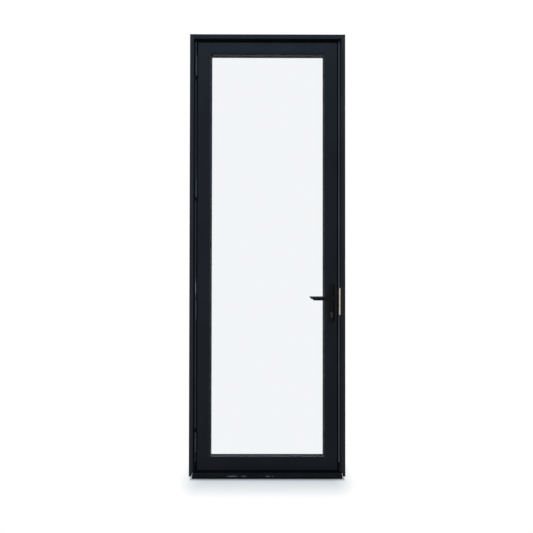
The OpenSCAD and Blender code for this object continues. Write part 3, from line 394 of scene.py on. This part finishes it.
def dark_nickel():
    """Dull plated cylinder metal with fine lines along its axis."""
    nickel = Finish("dark_nickel", {METAL: 1.0})
    nickel.colour(nickel.cloud(nickel.grain(size=0.006), srgb(40, 43, 45), srgb(58, 60, 62)))
    lines = nickel.grain(size=0.0006, detail=2.0, stretch=(1, 20, 1))
    nickel.roughness(lines, 0.30, 0.44)
    nickel.relief(lines, depth=0.00001)
    return nickel.material


def mill_aluminium():
    """Bare extruded aluminium with faint die lines."""
    metal = Finish("mill_aluminium", {METAL: 1.0})
    metal.colour(metal.cloud(metal.grain(size=0.03), srgb(176, 178, 180), srgb(204, 205, 206)))
    lines = metal.grain(size=0.0008, detail=2.0, stretch=(25, 1, 25))
    metal.roughness(lines, 0.30, 0.46)
    metal.relief(lines, depth=0.00001)
    return metal.material


def tan_strike():
    """Tan passivated strike: satin metal with fine rubbed lines along it, darker at both edges of its lip."""
    brass = Finish("tan_strike", {METAL: 0.75, SHINE: 0.4})
    lines = brass.span(brass.grain(size=0.0005, stretch=(1, 1, 40)), *SOFT)
    tan = brass.mix(lines, srgb(224, 209, 187), srgb(234, 220, 200))
    worn = brass.span(brass.grain(size=0.02), *FIRM, end=0.5)
    tan = brass.mix(worn, tan, srgb(212, 195, 170))
    outer = brass.span(brass.x, STRIKE_DARK_FROM, STRIKE_DARK_FROM + STRIKE_DARK_SOFT)
    inner = brass.span(brass.x, STRIKE_BRIGHT_FROM, STRIKE_BRIGHT_FROM - STRIKE_BRIGHT_SOFT)
    lip = brass.span(brass.y, STRIKE_LIP_BACK, STRIKE_LIP_BACK - STRIKE_LIP_SOFT)
    brass.colour(brass.mix(brass.most(outer, brass.times(inner, lip)), tan, srgb(74, 67, 58)))
    brass.roughness(lines, 0.32, 0.44, edges=(0.0, 1.0))
    brass.relief(lines, depth=0.000008)
    return brass.material


# Rubber and plastic


def black_rubber():
    """Stop seals, sweep and back gasket, with a faint bloom."""
    rubber = Finish("black_rubber", {SHINE: 0.06})
    bloom = rubber.grain(size=0.03, detail=4.0)
    rubber.colour(rubber.cloud(bloom, srgb(6, 6, 7), srgb(14, 14, 15), edges=(0.40, 0.75)))
    rubber.roughness(rubber.grain(size=0.006), 0.62, 0.80)
    rubber.relief(rubber.grain(size=0.0007, detail=2.0), depth=0.00004)
    return rubber.material


def grey_gasket():
    """Front glazing gasket, gone grey where it meets the glass."""
    rubber = Finish("grey_gasket", {SHINE: 0.12})
    bloom = rubber.grain(size=0.04, detail=4.0)
    rubber.colour(rubber.cloud(bloom, srgb(88, 90, 96), srgb(106, 108, 114), edges=(0.35, 0.70)))
    rubber.roughness(rubber.grain(size=0.006), 0.60, 0.78)
    rubber.relief(rubber.grain(size=0.0007, detail=2.0), depth=0.00004)
    return rubber.material


def grey_seal():
    """Gap seal: pale bulb on a dark flange, darker on the left, with painted shade near the head and a
    painted highlight where the left seal's end lifts.
    """
    seal = Finish("grey_seal", {SHINE: 0.12})
    dull = srgb(30, 31, 33)
    left = seal.span(seal.x, LEFT_FROM, LEFT_FULL)
    grey = seal.cloud(seal.grain(size=0.05, stretch=(1, 1, 4)), srgb(93, 94, 97), srgb(108, 109, 112))
    grey = seal.mix(seal.times(left, LEFT_SEAL_SHARE), grey, dull)
    # painted shade: the seals darken towards the head
    grey = seal.mix(seal.span(seal.z, SEAL_SHADE_FROM, SEAL_SHADE_TO, end=SEAL_SHADE_SHARE), grey, dull)
    # painted highlight: a pale streak where the left seal's end lifts
    streak = seal.times(seal.near(seal.z, STREAK_MIDDLE, STREAK_FULL, STREAK_FADING), left)
    grey = seal.mix(seal.times(streak, STREAK_SHARE), grey, srgb(170, 170, 172))
    flange = seal.span(seal.number("ABSOLUTE", seal.x), PALE_SEAL_END, PALE_SEAL_END + PALE_SEAL_SOFT)
    # painted shade: the left seal is near black at the hinges' ends
    cut = seal.times(painted_gap_shade(seal), left)
    foot = seal.span(seal.z, SEAL_FOOT, SEAL_FOOT - SEAL_FOOT_SOFT)
    seal.colour(seal.mix(seal.most(seal.most(flange, cut), foot), grey, srgb(7, 8, 10)))
    seal.roughness(seal.grain(size=0.01), 0.45, 0.60)
    seal.relief(seal.grain(size=0.0007, detail=2.0), depth=0.00003)
    return seal.material


def pale_plastic():
    """Caps at the ends of the sill, a little yellowed."""
    plastic = Finish("pale_plastic", {SHINE: 0.4})
    plastic.colour(plastic.cloud(plastic.grain(size=0.01), srgb(170, 168, 162), srgb(196, 195, 190)))
    plastic.roughness(plastic.grain(size=0.004), 0.45, 0.60)
    plastic.relief(plastic.grain(size=0.0008, detail=1.0), depth=0.00003)
    return plastic.material


def black_plastic():
    """Moulded end plugs and setting blocks."""
    plastic = Finish("black_plastic", {SHINE: 0.25})
    plastic.colour(plastic.cloud(plastic.grain(size=0.02), srgb(16, 16, 17), srgb(24, 24, 25)))
    plastic.roughness(plastic.grain(size=0.003), 0.48, 0.62)
    plastic.relief(plastic.grain(size=0.0006, detail=1.0), depth=0.00004)
    return plastic.material


# Glazing unit


def clear_glass():
    """Clear float glass with the faint green-blue of two panes."""
    glass = Finish("clear_glass", {"Transmission Weight": 1.0, "IOR": 1.45, "Roughness": 0.0,
                                   "Base Color": (0.945, 0.955, 0.965, 1.0),
                                   "Specular Tint": (0.30, 0.36, 0.44, 1.0)})
    return glass.material


def grey_spacer():
    """Dull dark spacer of the glazing unit, with two rows of small holes, and painted light on the faces that
    look up.
    """
    bar = Finish("grey_spacer", {SHINE: 0.3})
    grey = bar.cloud(bar.grain(size=0.03), srgb(37, 38, 41), srgb(46, 47, 50))
    # painted light: faces that look up are pale
    grey = bar.mix(bar.upward(), grey, srgb(104, 106, 112))
    along = bar.number("FRACT", bar.number("DIVIDE", bar.number("ADD", bar.x, bar.z), SPACER_PITCH))
    step = bar.times(bar.number("SUBTRACT", along, 0.5), SPACER_PITCH)
    aside = bar.number("ABSOLUTE", bar.number("SUBTRACT", bar.y, SPACER_MIDDLE))
    hole = bar.times(bar.near(step, 0.0, SPACER_HOLE, SPACER_HOLE_SOFT),
                     bar.near(aside, SPACER_ROW, SPACER_HOLE, SPACER_HOLE_SOFT))
    bar.colour(bar.mix(hole, grey, srgb(24, 24, 25)))
    bar.roughness(bar.grain(size=0.004), 0.40, 0.55)
    return bar.material


# Which finish goes where

FINISHES = {
    "black_coat": black_coat(),
    "hinge_black": hinge_black(),
    "handle_black": handle_black(),
    "steel": zinc_steel(),
    "black_rubber": black_rubber(),
    "grey_seal": grey_seal(),
    "glass": clear_glass(),
    "nickel": dark_nickel(),
    "tan_strike": tan_strike(),
    "pale_plastic": pale_plastic(),
    "plain_aluminium": mill_aluminium(),
    "black_plastic": black_plastic(),
}
OWN_FINISHES = {"sill": trodden_coat(), "spacer_bar": grey_spacer(), "front_gasket": grey_gasket()}
OWN_FINISHES |= dict.fromkeys(
    ("hinge_jamb", "strike_jamb", "hinge_side_bead", "lock_side_bead"), lit_jamb_coat())
OWN_FINISHES |= dict.fromkeys(
    ("escutcheon_screws", "hinge_frame_screws", "hinge_leaf_screws"), black_steel())
SLOT_OF = {part["node"]: part["material_slot"] for part in frame["record"]["subparts"]}
BODY_OF = {node: body for body, nodes in frame["record"]["behaviour"]["bodies"].items() for node in nodes}


def finish_of(node):
    return OWN_FINISHES.get(node, FINISHES[SLOT_OF[node]])


def dress_solids():
    """Every solid that is shown as it is gets its finish."""
    for name, solid in frame["nodes"].items():
        solid.data.materials.clear()
        solid.data.materials.append(finish_of(name))


# Pieces made from the solids


def new_piece(name, mesh):
    piece = bpy.data.objects.new(name, mesh)
    bpy.context.scene.collection.objects.link(piece)
    return piece


def settle(piece):
    """Works the piece's modifiers into a plain mesh."""
    bpy.context.view_layer.update()
    graph = bpy.context.evaluated_depsgraph_get()
    mesh = bpy.data.meshes.new_from_object(piece.evaluated_get(graph))
    piece.modifiers.clear()
    piece.data = mesh


def stand_for(piece, node):
    """The piece takes the solid's place and body, and the solid is hidden."""
    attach(piece, BODY_OF[node])
    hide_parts(node)


def merged_copy(node):
    """The solid's mesh with its loose triangles joined and its flat faces made whole."""
    shape = bmesh.new()
    shape.from_mesh(frame["nodes"][node].data)
    bmesh.ops.remove_doubles(shape, verts=shape.verts, dist=SAME_CORNER)
    bmesh.ops.dissolve_limit(shape, angle_limit=FLAT_FACE, verts=shape.verts, edges=shape.edges)
    return shape


def level_faces(piece):
    """Flat faces are kept flat, and the round edges between them are shaded smooth."""
    piece.data.shade_smooth()
    piece.data.set_sharp_from_angle(angle=SMOOTH_EDGE)
    level = piece.modifiers.new("level", "WEIGHTED_NORMAL")
    level.keep_sharp = True
    level.weight = LARGEST_ONLY
    level.thresh = SAME_AREA
    settle(piece)


def ease_edges(node, width, steps, shortest):
    """A copy of the solid with its outer edges rounded over, as an extruder or a polisher leaves them."""
    shape = merged_copy(node)
    outer = [e for e in shape.edges if e.is_manifold and e.is_convex
             and e.calc_face_angle() > SHARP_EDGE and e.calc_length() > shortest]
    bmesh.ops.bevel(shape, geom=outer, offset=width, offset_type="OFFSET", segments=steps,
                    profile=ROUND_PROFILE, affect="EDGES", clamp_overlap=False, loop_slide=False)
    mesh = bpy.data.meshes.new(f"{node}_eased")
    shape.to_mesh(mesh)
    shape.free()
    piece = new_piece(f"{node}_eased", mesh)
    level_faces(piece)
    piece.data.materials.clear()
    piece.data.materials.append(finish_of(node))
    stand_for(piece, node)


def ease_profiles():
    for node in ("hinge_jamb", "strike_jamb", "head", "sill",
                 "hinge_stile", "lock_stile", "top_rail", "bottom_rail"):
        ease_edges(node, PROFILE_EASE, PROFILE_STEPS, LONG_EDGE)
    for node in ("top_bead", "bottom_bead", "hinge_side_bead", "lock_side_bead"):
        ease_edges(node, BEAD_EASE, PROFILE_STEPS, LONG_EDGE)


def ease_fittings():
    for node in ("front_lever", "back_lever"):
        ease_edges(node, HANDLE_EASE, HANDLE_STEPS, ANY_EDGE)
    plates = [f"hinge_{place}_{side}_plate" for place in range(1, 5) for side in ("frame", "leaf")]
    for node in (*plates, "hinge_pins", "cylinder_body", "cylinder_core", "strike_plate", "lock_faceplate"):
        ease_edges(node, FITTING_EASE, PROFILE_STEPS, ANY_EDGE)


# Screws with a cross recess


def screw_tree():
    """One screw with its recess, set on every seat, each turned as it happened to stop."""
    tree = bpy.data.node_groups.new("recessed_screws", "GeometryNodeTree")
    sides = tree.interface
    sides.new_socket("Seats", in_out="INPUT", socket_type="NodeSocketGeometry")
    for size in ("Head Radius", "Foot Radius", "Head Height", "Shank Radius", "Length",
                 "Recess Length", "Recess Width", "Recess Depth"):
        sides.new_socket(size, in_out="INPUT", socket_type="NodeSocketFloat")
    sides.new_socket("Seed", in_out="INPUT", socket_type="NodeSocketInt")
    sides.new_socket("Metal", in_out="INPUT", socket_type="NodeSocketMaterial")
    sides.new_socket("Screws", in_out="OUTPUT", socket_type="NodeSocketGeometry")
    given = tree.nodes.new("NodeGroupInput").outputs
    screw = recessed_screw(tree, given)
    placed = add_node(tree, "GeometryNodeInstanceOnPoints",
                      {"Points": given["Seats"], "Instance": screw, "Rotation": screw_turn(tree, given)})
    real = add_node(tree, "GeometryNodeRealizeInstances", {0: placed.outputs[0]})
    plated = add_node(tree, "GeometryNodeSetMaterial", {0: real.outputs[0], "Material": given["Metal"]})
    out = tree.nodes.new("NodeGroupOutput")
    tree.links.new(plated.outputs[0], out.inputs[0])
    return tree


def screw_turn(tree, given):
    """The seat's direction, with a random turn about it."""
    way = add_node(tree, "GeometryNodeInputNamedAttribute", {"Name": "way"}, data_type="FLOAT_VECTOR")
    aim = add_node(tree, "FunctionNodeAlignRotationToVector", {"Vector": way.outputs[0]}, axis="Z")
    stop = add_node(tree, "FunctionNodeRandomValue", {2: 0.0, 3: math.tau, "Seed": given["Seed"]},
                    data_type="FLOAT")
    twist = add_node(tree, "FunctionNodeAxisAngleToRotation", {"Axis": (0, 0, 1), "Angle": stop.outputs[1]})
    turn = add_node(tree, "FunctionNodeRotateRotation", {0: aim.outputs[0], 1: twist.outputs[0]},
                    rotation_space="LOCAL")
    return turn.outputs[0]


def recessed_screw(tree, given):
    """Head and shank in one, with two crossed slots cut into the head."""
    def vector(x, y, z):
        return add_node(tree, "ShaderNodeCombineXYZ", {0: x, 1: y, 2: z}).outputs[0]

    head = add_node(tree, "GeometryNodeMeshCone",
                    {"Vertices": SCREW_SIDES, "Radius Bottom": given["Head Radius"],
                     "Radius Top": given["Foot Radius"], "Depth": given["Head Height"]})
    start = number(tree, "MULTIPLY", given["Head Height"], 0.5)
    reach = number(tree, "SUBTRACT", given["Length"], start)
    bar = add_node(tree, "GeometryNodeMeshCylinder",
                   {"Vertices": SCREW_SIDES, "Radius": given["Shank Radius"], "Depth": reach})
    middle = number(tree, "ADD", start, number(tree, "MULTIPLY", reach, 0.5))
    shank = add_node(tree, "GeometryNodeTransform",
                     {0: bar.outputs[0], "Translation": vector(0.0, 0.0, middle)})
    whole = add_node(tree, "GeometryNodeMeshBoolean", operation="UNION", solver="EXACT")
    tree.links.new(head.outputs[0], whole.inputs[1])
    tree.links.new(shank.outputs[0], whole.inputs[1])
    deep = number(tree, "MULTIPLY", given["Recess Depth"], 2.0)
    cut = add_node(tree, "GeometryNodeMeshBoolean", {0: whole.outputs[0]},
                   operation="DIFFERENCE", solver="EXACT")
    for size in (vector(given["Recess Length"], given["Recess Width"], deep),
                 vector(given["Recess Width"], given["Recess Length"], deep)):
        slot = add_node(tree, "GeometryNodeMeshCube", {"Size": size})
        tree.links.new(slot.outputs[0], cut.inputs[1])
    return cut.outputs[0]


def islands(node):
    """The corner points of each separate solid in a node, always in the order of its mesh."""
    shape = merged_copy(node)
    seen = set()
    groups = []
    for first in shape.verts:
        if first in seen:
            continue
        seen.add(first)
        group, edge = [], [first]
        while edge:
            corner = edge.pop()
            group.append(corner.co.copy())
            fresh = [e.other_vert(corner) for e in corner.link_edges]
            fresh = [v for v in fresh if v not in seen]
            seen.update(fresh)
            edge.extend(fresh)
        groups.append(group)
    shape.free()
    return groups


def screw_measures(points):
    """Seat, driving direction and sizes of a screw, read from its solid's corner points."""
    low = Vector([min(p[i] for p in points) for i in range(3)])
    high = Vector([max(p[i] for p in points) for i in range(3)])
    axis = max(range(3), key=lambda i: high[i] - low[i])
    middle = (low + high) / 2
    sides = [i for i in range(3) if i != axis]

    def radius(point):
        return math.hypot(*(point[i] - middle[i] for i in sides))

    def widest(end):
        return max(radius(p) for p in points if abs(p[axis] - end) < SAME_END)

    tip, head_end = sorted((low[axis], high[axis]), key=widest)
    shank = widest(tip)

    def depth(point):
        return abs(point[axis] - head_end)

    head = [p for p in points if radius(p) > shank * HEAD_OVER_SHANK]
    neck = [p for p in points if radius(p) <= shank * HEAD_OVER_SHANK and depth(p) > SAME_END]
    seat = middle.copy()
    seat[axis] = head_end
    way = Vector((0, 0, 0))
    way[axis] = math.copysign(1.0, tip - head_end)
    sizes = {"Head Radius": widest(head_end), "Shank Radius": shank, "Length": abs(tip - head_end)}
    height = max(depth(p) for p in head)
    if height < SAME_END:
        sizes.update({"Foot Radius": shank, "Head Height": min(depth(p) for p in neck)})
    else:
        sizes.update({"Foot Radius": max(radius(p) for p in head), "Head Height": height})
    return seat, way, sizes


def set_screws(tree, node):
    """Screws with a recess on the seats of a node of plain ones."""
    found = [screw_measures(points) for points in islands(node)]
    mesh = bpy.data.meshes.new(f"{node}_seats")
    mesh.from_pydata([seat for seat, _, _ in found], [], [])
    ways = mesh.attributes.new("way", "FLOAT_VECTOR", "POINT")
    for index, (_, way, _) in enumerate(found):
        ways.data[index].vector = way
    sizes = dict(found[0][2])
    sizes["Recess Length"] = sizes["Head Radius"] * RECESS_LENGTH_SHARE
    sizes["Recess Width"] = sizes["Head Radius"] * RECESS_WIDTH_SHARE
    sizes["Recess Depth"] = sizes["Head Height"] * RECESS_DEPTH_SHARE
    sizes["Seed"] = SCREW_SEED
    sizes["Metal"] = finish_of(node)
    piece = new_piece(f"{node}_recessed", mesh)
    maker = piece.modifiers.new("screws", "NODES")
    maker.node_group = tree
    for item in tree.interface.items_tree:
        if item.in_out == "INPUT" and item.name in sizes:
            maker[item.identifier] = sizes[item.name]
    settle(piece)
    stand_for(piece, node)


def set_all_screws():
    tree = screw_tree()
    for node in ("hinge_frame_screws", "keeper_screws", "frame_corner_screws",
                 "hinge_leaf_screws", "escutcheon_screws", "lock_edge_screws"):
        set_screws(tree, node)


# Stage


def shown_share(tree):
    """One for rays that show the background: straight, mirrored or through glass."""
    ray = tree.nodes.new("ShaderNodeLightPath").outputs
    seen = number(tree, "MAXIMUM", ray["Is Camera Ray"], ray["Is Glossy Ray"])
    return number(tree, "MAXIMUM", seen, ray["Is Transmission Ray"])


def set_world():
    world = bpy.data.worlds.new("studio")
    bpy.context.scene.world = world
    world.use_nodes = True
    tree = world.node_tree
    tree.nodes.clear()
    sky = add_node(tree, "ShaderNodeBackground", {"Color": SKY_COLOUR, "Strength": SKY_STRENGTH})
    white = add_node(tree, "ShaderNodeBackground", {"Color": WHITE, "Strength": 1.0})
    mixed = add_node(tree, "ShaderNodeMixShader",
                     {0: shown_share(tree), 1: sky.outputs[0], 2: white.outputs[0]})
    add_node(tree, "ShaderNodeOutputWorld", {0: mixed.outputs[0]})


def outside(tree, place, half_width, front, back, side_gain):
    """How far a point of the floor lies outside a rectangle under the door, gained sideways."""
    def beyond(value, middle, half):
        away = number(tree, "ABSOLUTE", number(tree, "SUBTRACT", value, middle))
        return number(tree, "MAXIMUM", number(tree, "SUBTRACT", away, half), 0.0)

    split = add_node(tree, "ShaderNodeSeparateXYZ", {0: place}).outputs
    aside = number(tree, "MULTIPLY", beyond(split[0], 0.0, half_width), side_gain)
    along = beyond(split[1], (front + back) / 2, (back - front) / 2)
    way = add_node(tree, "ShaderNodeCombineXYZ", {0: aside, 1: along}).outputs[0]
    return add_node(tree, "ShaderNodeVectorMath", {0: way}, operation="LENGTH").outputs["Value"]


def floor_paint():
    """Matt paint that shows as white, with a soft shade round the door, partly real shadow and partly painted
    bluish shade, and a painted dark contact shade at the sill.
    """
    paint = bpy.data.materials.new("floor_paint")
    paint.use_nodes = True
    tree = paint.node_tree
    tree.nodes.clear()
    place = tree.nodes.new("ShaderNodeTexCoord").outputs["Object"]
    shadow = outside(tree, place, SHADE_HALF_WIDTH, SHADE_FRONT, SHADE_BACK, SHADE_SIDE_GAIN)
    contact = outside(tree, place, NOSE_HALF_WIDTH, NOSE_FRONT, SILL_BACK, NOSE_SIDE_GAIN)
    thin = span(tree, shadow, 0.0, SHADE_REACH, SHADE_WHITE)
    # painted contact shade: the floor is darkened close round the sill's nose
    contact_shade_factor = span(tree, contact, 0.0, CONTACT_REACH, CONTACT_WHITE)
    shown = shown_share(tree)
    pale = number(tree, "MULTIPLY", contact_shade_factor, span(tree, shown, 0.0, 1.0, FLOOR_BOUNCE, FLOOR_ALBEDO))
    matt = add_node(tree, "ShaderNodeBsdfDiffuse", {"Color": pale})
    # painted shade: near the door the white that the floor shows is tinted blue and mixed out
    tint = mix_colours(tree, thin, SHADE_TINT, WHITE)
    white = add_node(tree, "ShaderNodeEmission", {"Color": tint, "Strength": 1.0})
    share = number(tree, "MULTIPLY", number(tree, "MULTIPLY", thin, contact_shade_factor), shown)
    both = add_node(tree, "ShaderNodeMixShader", {0: share, 1: matt.outputs[0], 2: white.outputs[0]})
    add_node(tree, "ShaderNodeOutputMaterial", {0: both.outputs[0]})
    return paint


def set_floor():
    half = FLOOR_SIZE / 2
    corners = [(-half, -half, 0), (half, -half, 0), (half, half, 0), (-half, half, 0)]
    mesh = bpy.data.meshes.new("floor")
    mesh.from_pydata(corners, [], [(0, 1, 2, 3)])
    mesh.materials.append(floor_paint())
    floor = new_piece("floor", mesh)


def hang_lamp(name, place, aim, size, power, colour, mirrored):
    """A soft lamp, looking at a point, that the camera doesn't see. A mirrored one shows in gloss."""
    lamp = bpy.data.lights.new(name, "AREA")
    lamp.shape = "RECTANGLE"
    lamp.size, lamp.size_y = size
    lamp.energy = power
    lamp.color = colour
    hung = bpy.data.objects.new(name, lamp)
    bpy.context.scene.collection.objects.link(hung)
    hung.location = place
    hung.rotation_euler = (Vector(aim) - Vector(place)).to_track_quat("-Z", "Y").to_euler()
    hung.visible_camera = False
    hung.visible_transmission = False
    hung.visible_glossy = mirrored


def set_lamps():
    hang_lamp("high_front", place=(0.0, -3.4, 5.0), aim=(0.0, 0.0, 1.6), size=(2.6, 1.1),
              power=122.0, colour=(0.45, 0.72, 1.0), mirrored=True)
    hang_lamp("left_fill", place=(-2.0, -1.9, 1.0), aim=(0.0, 0.0, 1.1), size=(1.0, 1.2),
              power=46.0, colour=(1.0, 0.95, 0.88), mirrored=False)
    hang_lamp("high_back", place=(1.5, 3.0, 3.5), aim=(0.0, 0.0, 1.2), size=(2.4, 1.6),
              power=40.0, colour=(1.0, 1.0, 1.0), mirrored=False)


def set_camera():
    lens = bpy.data.cameras.new("camera")
    lens.lens = CAMERA_LENS_MM
    lens.sensor_width = CAMERA_SENSOR_MM
    camera = bpy.data.objects.new("camera", lens)
    bpy.context.scene.collection.objects.link(camera)
    pan = Matrix.Rotation(CAMERA_YAW, 4, "Z")
    tilt = Matrix.Rotation(math.pi / 2 + CAMERA_PITCH, 4, "X")
    roll = Matrix.Rotation(CAMERA_ROLL, 4, "Z")
    camera.matrix_world = Matrix.Translation(CAMERA_PLACE) @ pan @ tilt @ roll
    bpy.context.scene.camera = camera


bpy.context.scene.view_settings.view_transform = "Standard"
set_camera()
set_world()
set_floor()
set_lamps()
dress_solids()
ease_profiles()
ease_fittings()
set_all_screws()
